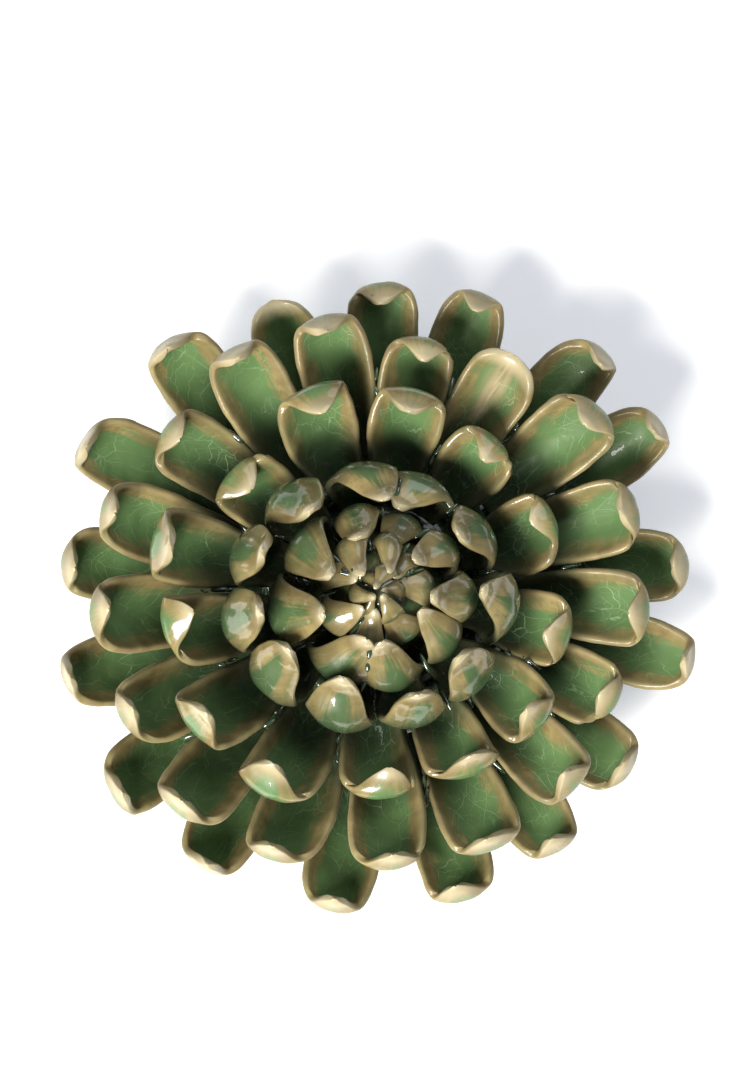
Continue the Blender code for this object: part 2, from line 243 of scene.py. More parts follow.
# Beads of pooled glaze lie between the petals of these rings, at about these distances from the axis.
BEAD_RADII = (
    (OUTER, (58.0, 63.0)), (SECOND, (46.0, 50.0, 54.0, 58.0)), (THIRD, (34.0, 37.0, 40.0, 43.0)),
    (INNER, (23.0, 26.0, 29.0)), (SCALE_OUTER, (14.0, 17.0, 20.0)), (SCALE_INNER, (7.0, 9.0, 12.0)),
)
CREASE_STEPS = 14  # either side of the middle of the gap
CREASE_STEP = 0.4
CREASE_SPAN = 4  # the widest gap that a bead bridges, in steps
CREASE_JUMP = 5.0  # how far one petal may lie below the other
BEAD_SUNK = 0.5
BEAD_LUMPS = 0.5
BEAD_DETAIL = 3  # subdivisions of a bead's sphere
BEAD_STRAY = 1.0
BEAD_LONG = (1.0, 2.8)
BEAD_WIDE = (0.4, 0.75)
BEAD_SKEW = 20
LOOK_FROM = 100.0  # a height above the whole flower


def smooth(low, high, x):
    """0 below low, 1 above high, and an even S between them."""
    s = min(1.0, max(0.0, (x - low) / (high - low)))
    return s * s * (3 - 2 * s)


def blend(a, b, share):
    return a + (b - a) * share


def add_object(name, data):
    obj = bpy.data.objects.new(name, data)
    bpy.context.scene.collection.objects.link(obj)
    return obj


def mesh_from(name, bm):
    mesh = bpy.data.meshes.new(name)
    bm.to_mesh(mesh)
    bm.free()
    return mesh


def lumpy(obj, texture, strength):
    """Uneven by hand: the surface moves in and out by half of strength, in millimetres."""
    marks = obj.modifiers.new("hand_marks", "DISPLACE")
    marks.texture = texture
    marks.texture_coords = "LOCAL"
    marks.strength = strength * MM
    marks.mid_level = 0.5


class Habit(NamedTuple):
    """The small differences that a hand leaves in one petal. The shares are of what the ring says."""

    twist: float  # degrees, at the tip
    bow: float  # how far the middle swings sideways
    left: float  # share of the clockwise rim's height
    right: float
    wave: float  # the rims' rise and fall, in millimetres
    phase: float
    tone: float  # which part of the patterns its glaze shows
    curl: float  # share of the depth left on the flap
    full: float  # share of the fullness


def habit_of(ring, index):
    dice = random.Random(f"{ring.name}{index}")
    return Habit(
        twist=dice.uniform(-7, 7),
        bow=dice.uniform(-1.0, 1.0),
        left=dice.uniform(0.85, 1.12),
        right=dice.uniform(0.85, 1.12),
        wave=dice.uniform(0.1, 0.35),
        phase=dice.uniform(0, 2 * math.pi),
        tone=dice.uniform(0, 1),
        curl=dice.uniform(0.7, 1.35),
        full=dice.uniform(0.66, 1.12),
    )


def folded_keel(ring, petal, fold):
    """The keel folded by this many degrees, as (radius, height, slope in radians) rows, and its length."""
    steeper = math.cos(math.radians(petal.azimuth - STEEP_SIDE)) * math.cos(math.radians(ring.rise[1]))
    root, body = math.radians(ring.rise[0]), math.radians(ring.rise[1] + STEEPER * steeper)
    flap = body + math.radians(fold)
    out, up, rows = 0.0, 0.0, []
    for i in range(KEEL_STEPS + 1):
        t = i / KEEL_STEPS
        slope = blend(root, body, min(1.0, t / ring.fold_at))
        slope = blend(slope, flap, smooth(ring.fold_at, ring.fold_at + ring.fold_share, t))
        slope -= math.radians(NUB_TURN) * smooth(ring.nub_from, 1.0, t)
        rows.append((out, up, slope))
        out += math.cos(slope) / KEEL_STEPS
        up += math.sin(slope) / KEEL_STEPS
    half_clay = ring.thickness / 2
    start = ring.root[0] + GAP + half_clay * abs(math.sin(root))
    length = (petal.reach - half_clay - start) / max(row[0] for row in rows)
    return [(start + length * o, ring.root[1] + length * u, s) for o, u, s in rows], length


def keel(ring, petal):
    """The keel whose fold brings its tip back by the petal's hook, or as near to it as a level flap comes."""
    low, high = LEAST_FOLD, LEVEL_FLAP - ring.rise[1]
    for _ in range(FOLD_TRIES):
        fold = (low + high) / 2
        rows, length = folded_keel(ring, petal, fold)
        if petal.reach - rows[-1][0] < petal.hook:
            low = fold
        else:
            high = fold
    return rows, length


def side_room(ring, index):
    """The angles from a petal's keel to the planes half way to its neighbours, the clockwise one first."""
    azimuths = [p.azimuth for p in ring.petals]
    here = azimuths[index]
    before = (here - azimuths[index - 1]) % 360
    after = (azimuths[(index + 1) % len(azimuths)] - here) % 360
    return math.radians(before / 2), math.radians(after / 2)


def half_width(ring, t, full, end):
    """Half a petal's width where nothing presses on it: an opening wedge, then an ogee or a round end."""
    if t < WIDEST_AT:
        return ring.half_width * blend(ring.root_width, 1.0, math.sin(math.pi / 2 * t / WIDEST_AT))
    share = (1 - ((t - WIDEST_AT) / (1 - WIDEST_AT)) ** (ring.fullness * full)) ** end
    return blend(BLUNT_TIP, ring.half_width, share)


def pressed(width, room):
    """The width that a petal keeps where its neighbours leave it this much room."""
    sharp = PRESS_SHARPNESS
    return (width**-sharp + max(room, LEAST_ROOM) ** -sharp) ** (-1 / sharp)


def nose(to_tip):
    """The share of the clay's size this far from the tip, which ends in a quarter circle."""
    return math.sqrt(max(LEAST_NOSE, 1 - max(0.0, 1 - to_tip / ROUND_NOSE) ** 2))


def petal_point(ring, index, table, length, habit, t, u):
    """A point of the middle of the clay, t from root to tip and u from rim to rim."""
    petal = ring.petals[index]
    place = t * KEEL_STEPS
    i = min(int(place), KEEL_STEPS - 1)
    radius, height, slope = (blend(a, b, place - i) for a, b in zip(table[i], table[i + 1]))
    end = ROUND_END if petal.hook < OPEN_HOOK else OGEE
    half = half_width(ring, t, habit.full, end) * petal.width
    room = side_room(ring, index)[0 if u < 0 else 1]
    limit = radius * math.tan(room) - ring.thickness / 2
    across = u * pressed(half, limit) * nose(length * (1 - t))
    side = habit.left if u < 0 else habit.right
    fold_end = ring.fold_at + ring.fold_share
    cup = blend(1.0, ring.flap_depth * habit.curl, smooth(FLAT_FROM * ring.fold_at, fold_end, t))
    lift = ring.depth * side * cup * (half / ring.half_width) ** CUP_NARROWS * abs(u) ** CUP_POWER
    lift += habit.wave * abs(u) ** RIM_WAVE_POWER * math.sin(RIM_WAVES * t + habit.phase)
    twist = math.radians(habit.twist) * smooth(*TWIST_SPAN, t)
    lift += across * math.sin(twist)
    lean = smooth(ring.fold_at * LEAN_FROM, 1.0, t) * petal.lean
    bow = habit.bow * math.sin(math.pi * min(t / ring.fold_at, 1.0))
    return Vector((radius - lift * math.sin(slope), across + lean + bow, height + lift * math.cos(slope)))


def row_share(r):
    """Rows stand closer together towards the tip, where the outline turns fastest."""
    return 1 - (1 - r / ROWS) ** ROW_CROWDING


def clay_grid(ring, index):
    """Middle points and normals of one petal, row by row, with each point's distance from the rim."""
    petal = ring.petals[index]
    table, length = keel(ring, petal)
    habit = habit_of(ring, index)
    rows = []
    for r in range(ROWS + 1):
        rows.append([petal_point(ring, index, table, length, habit, row_share(r), u) for u in COLUMNS])
    last = len(COLUMNS) - 1
    normals = []
    for r in range(ROWS + 1):
        line = []
        for c in range(last + 1):
            along = rows[min(r + 1, ROWS)][c] - rows[max(r - 1, 0)][c]
            across = rows[r][min(c + 1, last)] - rows[r][max(c - 1, 0)]
            line.append(along.cross(across).normalized())
        normals.append(line)
    rims = []
    for r in range(ROWS + 1):
        to_tip = length * (1 - row_share(r))
        half = (rows[r][last] - rows[r][0]).length / 2
        rims.append([min((1 - abs(u)) * half, to_tip * TIP_AS_RIM) for u in COLUMNS])
    return rows, normals, rims, length, habit


def closed_shell(name, rows, normals, thickness, length):
    """A closed mesh of the clay: the inner face, then the back, and the rim between them."""
    height, width = len(rows), len(rows[0])
    points, faces = [], []
    for side in (1, -1):
        for r in range(height):
            for c in range(width):
                half = thickness / 2 * blend(1.0, RIM_THINNER, abs(COLUMNS[c]) ** 2)
                half *= nose(length * (1 - row_share(r)))
                points.append((rows[r][c] + normals[r][c] * half * side) * MM)
    back = height * width
    for r in range(height - 1):
        for c in range(width - 1):
            a = r * width + c
            quad = (a, a + width, a + width + 1, a + 1)
            faces.append(quad)
            faces.append(tuple(back + k for k in reversed(quad)))
    border = [(0, c) for c in range(width)]
    border += [(r, width - 1) for r in range(1, height)]
    border += [(height - 1, c) for c in range(width - 2, -1, -1)]
    border += [(r, 0) for r in range(height - 2, 0, -1)]
    ids = [r * width + c for r, c in border]
    for a, b in zip(ids, ids[1:] + ids[:1]):
        faces.append((a, b, back + b, back + a))
    mesh = bpy.data.meshes.new(name)
    mesh.from_pydata([tuple(p) for p in points], [], faces)
    mesh.shade_smooth()
    return mesh


def store(mesh, name, values):
    mesh.attributes.new(name, "FLOAT", "POINT").data.foreach_set("value", values)


def make_petal(ring, index, material, finger_marks):
    rows, normals, rims, length, habit = clay_grid(ring, index)
    name = f"{ring.name}_{index + 1:02d}"
    mesh = closed_shell(name + "_clay", rows, normals, ring.thickness, length)
    flat = [d for line in rims for d in line]
    store(mesh, "rim", flat + flat)
    store(mesh, "back", [0.0] * len(flat) + [1.0] * len(flat))
    along = [length * row_share(r) for r in range(ROWS + 1) for _ in COLUMNS]
    store(mesh, "along", along + along)
    store(mesh, "share", [a / length for a in along] * 2)
    places = [u for _ in range(ROWS + 1) for u in COLUMNS]
    across = [u * ring.half_width for u in places]
    store(mesh, "across", across + across)
    store(mesh, "tone", [habit.tone] * (2 * len(flat)))
    worn = [ring.petals[index].streak * math.exp(-((u / STREAK_WIDTH) ** 2)) for u in places]
    store(mesh, "streak", worn + worn)
    mesh.transform(Matrix.Rotation(math.radians(ring.petals[index].azimuth), 4, "Z"))
    obj = add_object(name + "_clay", mesh)
    obj.data.materials.append(material)
    fine = obj.modifiers.new("round", "SUBSURF")
    fine.levels = fine.render_levels = FINE
    lumpy(obj, finger_marks, FINGER_MARKS)
    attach(obj, "root")
    return obj


class Graph:
    """A material's node tree, with one short call for each kind of node that the glaze uses."""

    def __init__(self, name):
        self.material = bpy.data.materials.new(name)
        self.material.use_nodes = True
        self.tree = self.material.node_tree
        self.shader = self.tree.nodes["Principled BSDF"]

    def node(self, kind, **settings):
        made = self.tree.nodes.new(kind)
        for key, value in settings.items():
            setattr(made, key, value)
        return made

    def plug(self, socket, value):
        if hasattr(value, "is_output"):
            self.tree.links.new(value, socket)
        else:
            socket.default_value = value

    def attribute(self, name):
        return self.node("ShaderNodeAttribute", attribute_name=name).outputs["Fac"]

    def math(self, operation, a, b=0.0, c=0.0):
        made = self.node("ShaderNodeMath", operation=operation)
        for socket, value in zip(made.inputs, (a, b, c)):
            self.plug(socket, value)
        return made.outputs[0]

    def ramp(self, value, low, high, start=0.0, end=1.0):
        made = self.node("ShaderNodeMapRange", interpolation_type="SMOOTHSTEP")
        for socket, given in zip(made.inputs, (value, low, high, start, end)):
            self.plug(socket, given)
        return made.outputs[0]

    def mix(self, share, a, b):
        made = self.node("ShaderNodeMix", data_type="RGBA")
        self.plug(made.inputs["Factor"], share)
        for key, value in (("A", a), ("B", b)):
            socket = next(s for s in made.inputs if s.name == key and s.type == "RGBA")
            self.plug(socket, value if hasattr(value, "is_output") else (*value, 1.0))
        return next(s for s in made.outputs if s.type == "RGBA")

    def noise(self, scale, detail, coordinates=None):
        made = self.node("ShaderNodeTexNoise")
        made.inputs["Scale"].default_value = scale
        made.inputs["Detail"].default_value = detail
        if coordinates is None:
            coordinates = self.node("ShaderNodeTexCoord").outputs["Object"]
        self.plug(made.inputs["Vector"], coordinates)
        return made.outputs["Fac"]

    def wander(self, pattern, reach, value):
        """The value moved up and down by half of reach, as the pattern goes from 0 to 1."""
        return self.math("MULTIPLY_ADD", self.math("SUBTRACT", pattern, 0.5), reach, value)

    def bump(self, strength, distance, height):
        made = self.node("ShaderNodeBump")
        made.inputs["Strength"].default_value = strength
        made.inputs["Distance"].default_value = distance * MM
        self.plug(made.inputs["Height"], height)
        return made.outputs[0]


GREEN = (0.070, 0.136, 0.049)
BUD_GREEN = (0.044, 0.084, 0.031)
DEEP_GREEN = (0.019, 0.035, 0.017)
POOLED = (0.034, 0.062, 0.03)
TAN = (0.205, 0.163, 0.066)
BROWN = (0.135, 0.098, 0.04)
OLIVE = (0.105, 0.107, 0.04)
PALE = (0.42, 0.37, 0.24)
CRACK = (0.22, 0.32, 0.17)
BISQUE = (0.30, 0.215, 0.13)  # the clay that shows through a worn streak
CLAY_DARK = (0.52, 0.45, 0.34)
CLAY_LIGHT = (0.66, 0.60, 0.48)
FLOOR_COLOUR = (0.80, 0.79, 0.76)
FLOOR_GLOW = (0.80, 0.85, 1.0)

# The glaze's patterns. Noise scales are per metre. Those of strokes, cracks and ribs are per millimetre.
CLOUD_SCALE = 160
DRIFT_SCALE = 60
GRAIN_SCALE = 420
RIPPLE_SCALE = 330
SPECK_SCALE = 260
CLOUD_WANDER = 4.0  # how far, in and out together, each pattern moves the edge of the green
DRIFT_WANDER = 3.0
STROKE_WANDER = 5.5
BACK_WANDER = -0.8  # on the backs it starts further from the rim
STROKES_ALONG = 0.09
STROKES_ACROSS = 0.7
PETALS_APART = 300.0  # how far apart two petals' patterns may lie, so that no two are alike
CRACKS_ALONG = 0.55  # below 1, the cells between cracks are longer than they are wide
CRACK_NETS = ((0.16, 0.012, 0.9), (0.4, 0.02, 0.45))  # scale, width and strength of each net of cracks
CRACK_WARP_SCALE = 0.25
CRACK_WARP = 2.0
RIBS_ALONG = 0.21  # ribs are cracks across the petal, bent towards its root at the rims
RIBS_ACROSS = 0.16
RIB_WARP = 1.6


def crackle(g, rim, back, tone):
    """Where the glaze has cracked, from 0 to 1, in nets and ribs. Rims and backs have less of it."""
    place = g.node("ShaderNodeCombineXYZ")
    g.plug(place.inputs[0], g.math("MULTIPLY", g.attribute("along"), CRACKS_ALONG))
    g.plug(place.inputs[1], g.attribute("across"))
    g.plug(place.inputs[2], g.math("MULTIPLY", tone, PETALS_APART))
    bent = g.node("ShaderNodeVectorMath", operation="MULTIPLY_ADD")
    warp = g.node("ShaderNodeTexNoise")
    warp.inputs["Scale"].default_value = CRACK_WARP_SCALE
    g.plug(warp.inputs["Vector"], place.outputs[0])
    g.plug(bent.inputs[0], warp.outputs["Color"])
    bent.inputs[1].default_value = (CRACK_WARP, CRACK_WARP, CRACK_WARP)
    g.plug(bent.inputs[2], place.outputs[0])
    fade = g.ramp(g.noise(110, 1), 0.36, 0.6)
    crack = 0.0
    for scale, width, strength in CRACK_NETS:
        cells = g.node("ShaderNodeTexVoronoi", feature="DISTANCE_TO_EDGE")
        cells.inputs["Scale"].default_value = scale
        g.plug(cells.inputs["Vector"], bent.outputs[0])
        line = g.ramp(cells.outputs["Distance"], width, width / 4)
        crack = g.math("MAXIMUM", g.math("MULTIPLY", line, strength), crack)
    ribs = g.math("MULTIPLY", warp.outputs["Fac"], RIB_WARP)
    ribs = g.math("MULTIPLY_ADD", g.attribute("along"), RIBS_ALONG, ribs)
    ribs = g.math("MULTIPLY_ADD", g.math("ABSOLUTE", g.attribute("across")), RIBS_ACROSS, ribs)
    rib = g.math("ABSOLUTE", g.math("SUBTRACT", g.math("FRACT", ribs), 0.5))
    rib = g.math("MULTIPLY", g.ramp(rib, 0.045, 0.012), g.ramp(g.noise(75, 1), 0.46, 0.62))
    crack = g.math("MAXIMUM", g.math("MULTIPLY", crack, fade), g.math("MULTIPLY", rib, 0.5))
    crack = g.math("MULTIPLY", crack, g.ramp(rim, 0.6, 2.5))
    return g.math("MULTIPLY", crack, g.ramp(back, 0.0, 1.0, 1.0, 0.35))


def glaze_material(name, pool_colour, green, root_shade_span, coat, roughness):
    """Crackle glaze: green where it pools, tan where it thins towards a rim, and pale on the rim itself.

    green is how far from the rim it starts and is full. root_shade_span is where along the petal, going
    towards the root, painted shade starts and where it is full: the colour darkens there to stand in for the
    shade down among the petals, partly also for glaze that pooled thicker there."""
    g = Graph(name)
    rim = g.attribute("rim")
    back = g.attribute("back")
    share = g.attribute("share")
    tone = g.attribute("tone")
    cloud = g.noise(CLOUD_SCALE, 4)
    drift = g.noise(DRIFT_SCALE, 2)
    wobble = g.wander(cloud, CLOUD_WANDER, rim)
    wobble = g.wander(drift, DRIFT_WANDER, wobble)
    wobble = g.math("MULTIPLY_ADD", back, BACK_WANDER, wobble)
    brush = g.node("ShaderNodeCombineXYZ")
    g.plug(brush.inputs[0], g.math("MULTIPLY", g.attribute("along"), STROKES_ALONG))
    g.plug(brush.inputs[1], g.math("MULTIPLY", g.attribute("across"), STROKES_ACROSS))
    g.plug(brush.inputs[2], g.math("MULTIPLY", tone, PETALS_APART))
    strokes = g.noise(1.0, 4, brush.outputs[0])
    wobble = g.wander(strokes, STROKE_WANDER, wobble)
    pooled = g.ramp(wobble, *green, 0.0, 0.94)
    tan = g.mix(g.ramp(cloud, 0.3, 0.75), TAN, BROWN)
    tan = g.mix(g.math("MULTIPLY", g.ramp(strokes, 0.42, 0.66), 0.55), tan, OLIVE)
    tan = g.mix(g.math("MULTIPLY", g.ramp(g.noise(GRAIN_SCALE, 4), 0.48, 0.68), 0.7), tan, BROWN)
    colour = g.mix(pooled, tan, pool_colour)
    colour = g.mix(g.math("MULTIPLY", g.attribute("streak"), g.ramp(strokes, 0.2, 0.6)), colour, BISQUE)
    # Painted shade: towards its root the petal's colour darkens to DEEP_GREEN, standing in for the shade down
    # among the petals, partly also for thicker pooled glaze.
    root_shade = g.ramp(g.wander(drift, 0.3, share), *root_shade_span)
    colour = g.mix(g.math("MULTIPLY", root_shade, 0.85), colour, DEEP_GREEN)
    worn = g.ramp(g.wander(cloud, 1.2, rim), 1.5, 0.2)
    tip = g.ramp(share, 0.86, 0.98)
    pale = g.math("MAXIMUM", g.math("MULTIPLY", worn, 0.07), g.math("MULTIPLY", tip, 0.6))
    colour = g.mix(pale, colour, PALE)

    crack = crackle(g, rim, back, tone)
    colour = g.mix(g.math("MULTIPLY", crack, 0.6), colour, CRACK)

    specks = g.node("ShaderNodeTexVoronoi", feature="F1")
    specks.inputs["Scale"].default_value = SPECK_SCALE
    g.plug(specks.inputs["Vector"], g.node("ShaderNodeTexCoord").outputs["Object"])
    speck = g.ramp(specks.outputs["Distance"], 0.16, 0.08)
    speck = g.math("MULTIPLY", speck, g.ramp(g.noise(90, 1), 0.6, 0.66))
    colour = g.mix(g.math("MULTIPLY", speck, 0.7), colour, BROWN)

    g.plug(g.shader.inputs["Base Color"], colour)
    g.plug(g.shader.inputs["Roughness"], g.ramp(cloud, 0.2, 0.8, *roughness))
    g.shader.inputs["Specular IOR Level"].default_value = 0.3
    g.shader.inputs["Coat Weight"].default_value = coat
    g.shader.inputs["Coat Roughness"].default_value = 0.03
    g.shader.inputs["Coat IOR"].default_value = 1.5
    height = g.math("MULTIPLY_ADD", g.noise(GRAIN_SCALE, 2), 0.5, g.math("MULTIPLY", crack, -0.6))
    g.plug(g.shader.inputs["Normal"], g.bump(0.35, 0.25, g.math("ADD", height, cloud)))
    g.plug(g.shader.inputs["Coat Normal"], g.bump(0.4, 0.2, g.noise(RIPPLE_SCALE, 2)))
    return g.material


def base_material():
    """Bare clay on the foot and back, and dark pooled glaze on the dome between the petals."""
    g = Graph("base_clay_and_glaze")
    axes = g.node("ShaderNodeSeparateXYZ")
    g.plug(axes.inputs[0], g.node("ShaderNodeTexCoord").outputs["Object"])
    height = g.math("MULTIPLY_ADD", g.noise(90, 3), 0.004, axes.outputs[2])
    glazed = g.ramp(height, 0.0062, 0.0082)
    grain = g.noise(500, 5)
    clay = g.mix(g.ramp(grain, 0.3, 0.7), CLAY_DARK, CLAY_LIGHT)
    glaze = g.mix(g.ramp(g.noise(120, 3), 0.35, 0.7), DEEP_GREEN, POOLED)
    g.plug(g.shader.inputs["Base Color"], g.mix(glazed, clay, glaze))
    g.plug(g.shader.inputs["Roughness"], g.ramp(glazed, 0.0, 1.0, 0.85, 0.08))
    height = g.math("ADD", grain, g.math("MULTIPLY", g.noise(140, 2), 3.0))
    g.plug(g.shader.inputs["Normal"], g.bump(0.5, 0.4, height))
    return g.material


def spun(name, profile, material):
    """A closed solid of revolution, from a profile that starts and ends on the axis."""
    bm = bmesh.new()
    rings = []
    angles = [2 * math.pi * i / SEGMENTS for i in range(SEGMENTS)]
    for radius, height in profile[1:-1]:
        points = [(radius * math.cos(a) * MM, radius * math.sin(a) * MM, height * MM) for a in angles]
        rings.append([bm.verts.new(p) for p in points])
    for lower, upper in zip(rings, rings[1:]):
        for i in range(SEGMENTS):
            j = (i + 1) % SEGMENTS
            bm.faces.new((lower[i], lower[j], upper[j], upper[i]))
    for (_, height), ring, turn in ((profile[0], rings[0], -1), (profile[-1], rings[-1], 1)):
        pole = bm.verts.new((0, 0, height * MM))
        for i in range(SEGMENTS):
            corners = (ring[i], ring[(i + 1) % SEGMENTS], pole)
            bm.faces.new(corners[::turn])
    bmesh.ops.recalc_face_normals(bm, faces=bm.faces)
    mesh = mesh_from(name, bm)
    mesh.shade_smooth()
    mesh.set_sharp_from_angle(angle=math.radians(SPUN_SHARP_ABOVE))
    mesh.materials.append(material)
    return add_object(name, mesh)


def arc(centre, radius, start, end, steps):
    """Points on a circle in the profile plane, from one angle to another."""
    angles = [math.radians(blend(start, end, i / steps)) for i in range(steps + 1)]
    return [(centre[0] + radius * math.cos(a), centre[1] + radius * math.sin(a)) for a in angles]


def dome_arc(radius, rise, centre, top, bottom, steps):
    """Points down an ellipse about the axis, from height top to height bottom."""
    start, end = (math.degrees(math.asin((h - centre) / rise)) for h in (top, bottom))
    angles = [math.radians(blend(start, end, i / steps)) for i in range(steps + 1)]
    return [(radius * math.cos(a), centre + rise * math.sin(a)) for a in angles]


def keyhole_cutter():
    """A prism of the keyhole's outline, a round end with a slot above it, longer than the back is thick."""
    half_slot = SLOT_WIDTH / 2
    joins = math.degrees(math.asin(half_slot / KEYHOLE_RADIUS))
    outline = arc((0, KEYHOLE_CENTRE), KEYHOLE_RADIUS, 90 - joins, joins - 270, HOLE_STEPS)
    outline += arc((0, SLOT_TOP - half_slot), half_slot, 180, 0, SLOT_STEPS)
    bm = bmesh.new()
    face = bm.faces.new([bm.verts.new((x * MM, y * MM, -CUT_PAST * MM)) for x, y in outline])
    lifted = bmesh.ops.extrude_face_region(bm, geom=[face])["geom"]
    top = [v for v in lifted if isinstance(v, bmesh.types.BMVert)]
    bmesh.ops.translate(bm, verts=top, vec=Vector((0, 0, (FLOOR + 2 * CUT_PAST) * MM)))
    bmesh.ops.recalc_face_normals(bm, faces=bm.faces)
    return add_object("keyhole", mesh_from("keyhole", bm))


def cut(obj, cutter):
    """Takes the cutter's shape out of the object's mesh, and removes the cutter."""
    modifier = obj.modifiers.new("cut", "BOOLEAN")
    modifier.operation = "DIFFERENCE"
    modifier.solver = "EXACT"
    modifier.object = cutter
    graph = bpy.context.evaluated_depsgraph_get()
    mesh = bpy.data.meshes.new_from_object(obj.evaluated_get(graph))
    obj.modifiers.clear()
    obj.data = mesh
    bpy.data.objects.remove(cutter)


def make_base():
    """The thrown dome with its foot, its hollow and the keyhole, as smooth as a wheel leaves it."""
    material = base_material()
    outside = dome_arc(DOME_RADIUS, DOME_RISE, DOME_BASE, SEAT_HEIGHT, FLOOR + FOOT_EDGE, DOME_STEPS)
    foot = arc((FOOT_RADIUS - FOOT_EDGE, FLOOR - FOOT_EDGE), FOOT_EDGE, 90, 0, FOOT_STEPS)
    foot += arc((FOOT_RADIUS - FOOT_EDGE, FOOT_EDGE), FOOT_EDGE, 0, -90, FOOT_STEPS)
    base = spun("base_clay", [(0.0, SEAT_HEIGHT), *outside, *foot, (0.0, 0.0)], material)
    ceiling = SEAT_HEIGHT - DOME_WALL
    inside = dome_arc(
        DOME_RADIUS - DOME_WALL, DOME_RISE - DOME_WALL / 2, FLOOR, ceiling, FLOOR, HOLLOW_STEPS
    )
    cut(base, spun("hollow", [(0.0, ceiling), *inside, (0.0, FLOOR)], material))
    cut(base, keyhole_cutter())
    base.data.shade_smooth()
    base.data.set_sharp_from_angle(angle=math.radians(SHARP_ABOVE))
    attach(base, "root")
    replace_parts(base, "base")


def make_heart(material, texture):
    """The clay heart that the bud's scales are luted to. It shows only as dark olive glaze between them."""
    low, high, widest = HEART_BASE, HEART_TOP, HEART_RADIUS
    half = math.pi / 2
    profile = [(0.0, low), (widest * HEART_FOOT, low)]
    profile += [
        (widest * math.cos(half * i / HEART_STEPS), blend(low + 1, high, math.sin(half * i / HEART_STEPS)))
        for i in range(HEART_STEPS)
    ]
    heart = spun("heart_clay", profile + [(0.0, high)], material)
    lumpy(heart, texture, HEART_LUMPS)
    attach(heart, "root")
    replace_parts(heart, "centre_bud")


def make_pool(material, texture):
    """Glaze that ran down and pooled in the crease between the third ring and the inner one."""
    bpy.ops.mesh.primitive_torus_add(
        major_radius=POOL_RADIUS * MM,
        minor_radius=POOL_HALF * MM,
        major_segments=POOL_SEGMENTS,
        minor_segments=POOL_SIDES,
        location=(0, 0, POOL_HEIGHT * MM),
    )
    pool = bpy.context.object
    pool.name = "glaze_pool"
    pool.data.shade_smooth()
    pool.data.materials.append(material)
    lumpy(pool, texture, POOL_LUMPS)
    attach(pool, "root")


def clay_seen():
    """A search tree over the clay made so far, and the name of the piece that each face belongs to."""
    graph = bpy.context.evaluated_depsgraph_get()
    bm, owners = bmesh.new(), []
    for obj in bpy.context.scene.objects:
        if obj.name.endswith("_clay"):
            bm.from_mesh(obj.evaluated_get(graph).to_mesh())
            owners += [obj.name] * (len(bm.faces) - len(owners))
    tree = BVHTree.FromBMesh(bm)
    bm.free()
    return tree, owners


def crease_near(tree, owners, ring, radius, azimuth):
    """Where two petals of this ring come closest on an arc across this place, seen from above, or None."""
    seen = []
    for i in range(-CREASE_STEPS, CREASE_STEPS + 1):
        a = math.radians(azimuth) + i * CREASE_STEP / radius
        above = Vector((radius * math.cos(a), radius * math.sin(a), LOOK_FROM)) * MM
        point, _, face, _ = tree.ray_cast(above, Vector((0, 0, -1)))
        seen.append((point, "" if face is None else owners[face]))
    meets = []
    for (a, petal), (b, other) in zip(seen, seen[CREASE_SPAN:]):
        if petal != other and petal.startswith(ring.name) and other.startswith(ring.name):
            place = (a + b) / 2
            place.z = min(a.z, b.z) - BEAD_SUNK * MM
            meets.append((abs(a.z - b.z), place))
    meets = [m for m in meets if m[0] < CREASE_JUMP * MM]
    return min(meets, key=lambda m: m[0])[1] if meets else None


def make_beads(material, texture):
    """Beads of glaze that gathered in the creases between neighbouring petals."""
    tree, owners = clay_seen()
    bm = bmesh.new()
    dice = random.Random(7)
    for ring, radii in BEAD_RADII:
        azimuths = [p.azimuth for p in ring.petals]
        for here, after in zip(azimuths, azimuths[1:] + [azimuths[0] + 360]):
            for radius in radii:
                azimuth = (here + after) / 2
                radius_here = radius + dice.uniform(-BEAD_STRAY, BEAD_STRAY)
                spot = crease_near(tree, owners, ring, radius_here, azimuth)
                long, wide = dice.uniform(*BEAD_LONG), dice.uniform(*BEAD_WIDE)
                skew = dice.uniform(-BEAD_SKEW, BEAD_SKEW)
                if spot is None:
                    continue
                turn = Matrix.Rotation(math.radians(azimuth + skew), 4, "Z")
                size = Matrix.Diagonal((long * MM, wide * MM, wide * MM, 1.0))
                place = Matrix.Translation(spot) @ turn @ size
                bmesh.ops.create_icosphere(bm, subdivisions=BEAD_DETAIL, radius=1.0, matrix=place)
    mesh = mesh_from("glaze_beads", bm)
    mesh.shade_smooth()
    mesh.materials.append(material)
    beads = add_object("glaze_beads", mesh)
    lumpy(beads, texture, BEAD_LUMPS)
    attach(beads, "root")


def pooled_material(name, dark, light):
    """Glaze that ran together and looks wet."""
    g = Graph(name)
    g.shader.inputs["Coat Weight"].default_value = 1.0
    g.shader.inputs["Coat Roughness"].default_value = 0.02
    g.plug(g.shader.inputs["Base Color"], g.mix(g.ramp(g.noise(150, 3), 0.35, 0.7), dark, light))
    g.plug(g.shader.inputs["Roughness"], g.ramp(g.noise(90, 2), 0.3, 0.7, 0.04, 0.12))
    g.plug(g.shader.inputs["Normal"], g.bump(0.4, 0.5, g.noise(260, 2)))
    return g.material


# The studio, in metres and watts. Each light: its power, its width and height, its place and its colour.
FLOOR_HALF = 3.0
FLOOR_DROP = 0.0002  # how far the floor lies below the flat back
GLOW_STRENGTH = 0.38
LIT_POINT = (0, 0, 0.02)
KEY = (38, (0.62, 0.54), (-0.46, -0.59, 0.90), (1.0, 0.965, 0.91))
FILL = (6.0, (1.0, 0.8), (0.42, 0.62, 0.95), (0.93, 0.96, 1.0))
STUDIO_COLOUR = (0.90, 0.91, 0.94)
STUDIO_STRENGTH = 0.22

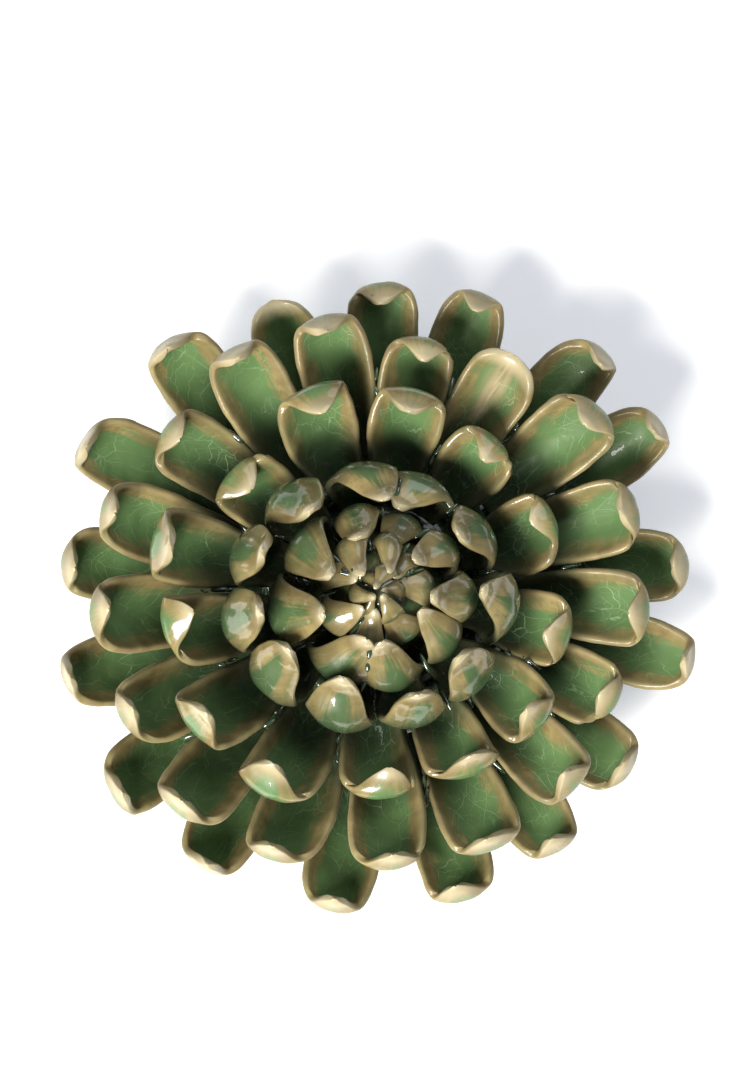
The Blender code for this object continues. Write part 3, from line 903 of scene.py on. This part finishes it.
# The camera looks straight down, from a little left of the flower's axis and towards its +Y side.
CAMERA_OVER = (-2.6, 10.8)
CAMERA_HEIGHT = 900.0
PLANE_SEEN = 25.0  # a height in the flower
VIEW_HEIGHT = 256.7  # how much of that plane the picture takes in
SENSOR = 36.0
FARTHEST = 10  # metres


def floor_material():
    """A pale sweep that glows a little, as a white table does in a light tent."""
    g = Graph("pale_floor")
    g.shader.inputs["Base Color"].default_value = (*FLOOR_COLOUR, 1.0)
    g.shader.inputs["Roughness"].default_value = 0.9
    g.shader.inputs["Emission Color"].default_value = (*FLOOR_GLOW, 1.0)
    g.shader.inputs["Emission Strength"].default_value = GLOW_STRENGTH
    return g.material


def make_floor():
    side = FLOOR_HALF
    corners = [(-side, -side, 0), (side, -side, 0), (side, side, 0), (-side, side, 0)]
    mesh = bpy.data.meshes.new("floor")
    mesh.from_pydata(corners, [], [(0, 1, 2, 3)])
    floor = add_object("floor", mesh)
    floor.location.z = -FLOOR_DROP
    mesh.materials.append(floor_material())


def area_light(name, power, size, place, colour):
    light = bpy.data.lights.new(name, "AREA")
    light.energy = power
    light.color = colour
    light.shape = "RECTANGLE"
    light.size, light.size_y = size
    obj = add_object(name, light)
    obj.location = place
    obj.rotation_euler = (Vector(LIT_POINT) - obj.location).to_track_quat("-Z", "Y").to_euler()


def make_lights():
    area_light("key", *KEY)
    area_light("fill", *FILL)
    world = bpy.data.worlds.new("studio")
    world.use_nodes = True
    world.node_tree.nodes["Background"].inputs["Color"].default_value = (*STUDIO_COLOUR, 1.0)
    world.node_tree.nodes["Background"].inputs["Strength"].default_value = STUDIO_STRENGTH
    bpy.context.scene.world = world


def make_camera():
    data = bpy.data.cameras.new("camera")
    data.sensor_width = SENSOR
    data.lens = SENSOR * (CAMERA_HEIGHT - PLANE_SEEN) / VIEW_HEIGHT
    data.clip_end = FARTHEST
    camera = add_object("camera", data)
    camera.location = Vector((*CAMERA_OVER, CAMERA_HEIGHT)) * MM
    bpy.context.scene.camera = camera


def main():
    finger_marks = bpy.data.textures.new("finger_marks", "CLOUDS")
    finger_marks.noise_scale = FINGER_SIZE * MM
    finger_marks.noise_depth = 1
    # The pair after each glaze's green span sets where its painted root shade starts and where it is full.
    petal_glaze = glaze_material("petal_glaze", GREEN, (1.2, 4.3), (0.58, 0.26), 0.2, (0.34, 0.54))
    hooked_glaze = glaze_material("hooked_petal_glaze", GREEN, (1.2, 4.2), (0.56, 0.24), 0.7, (0.26, 0.44))
    bud_glaze = glaze_material("bud_glaze", BUD_GREEN, (1.7, 4.2), (0.82, 0.5), 0.9, (0.22, 0.4))
    for ring in PETAL_RINGS:
        for index in range(len(ring.petals)):
            glaze = {THIRD.name: hooked_glaze, INNER.name: bud_glaze}.get(ring.name, petal_glaze)
            petal = make_petal(ring, index, glaze, finger_marks)
            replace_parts(petal, f"{ring.name}_{index + 1:02d}")
    for ring in BUD_RINGS:
        for index in range(len(ring.petals)):
            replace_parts(make_petal(ring, index, bud_glaze, finger_marks), "centre_bud")
    pooled = pooled_material("pooled_glaze", DEEP_GREEN, POOLED)
    make_heart(pooled_material("heart_glaze", POOLED, OLIVE), finger_marks)
    make_pool(pooled, finger_marks)
    make_beads(pooled, finger_marks)
    make_base()
    make_floor()
    make_lights()
    make_camera()
    bpy.context.scene.view_settings.view_transform = "Standard"


main()
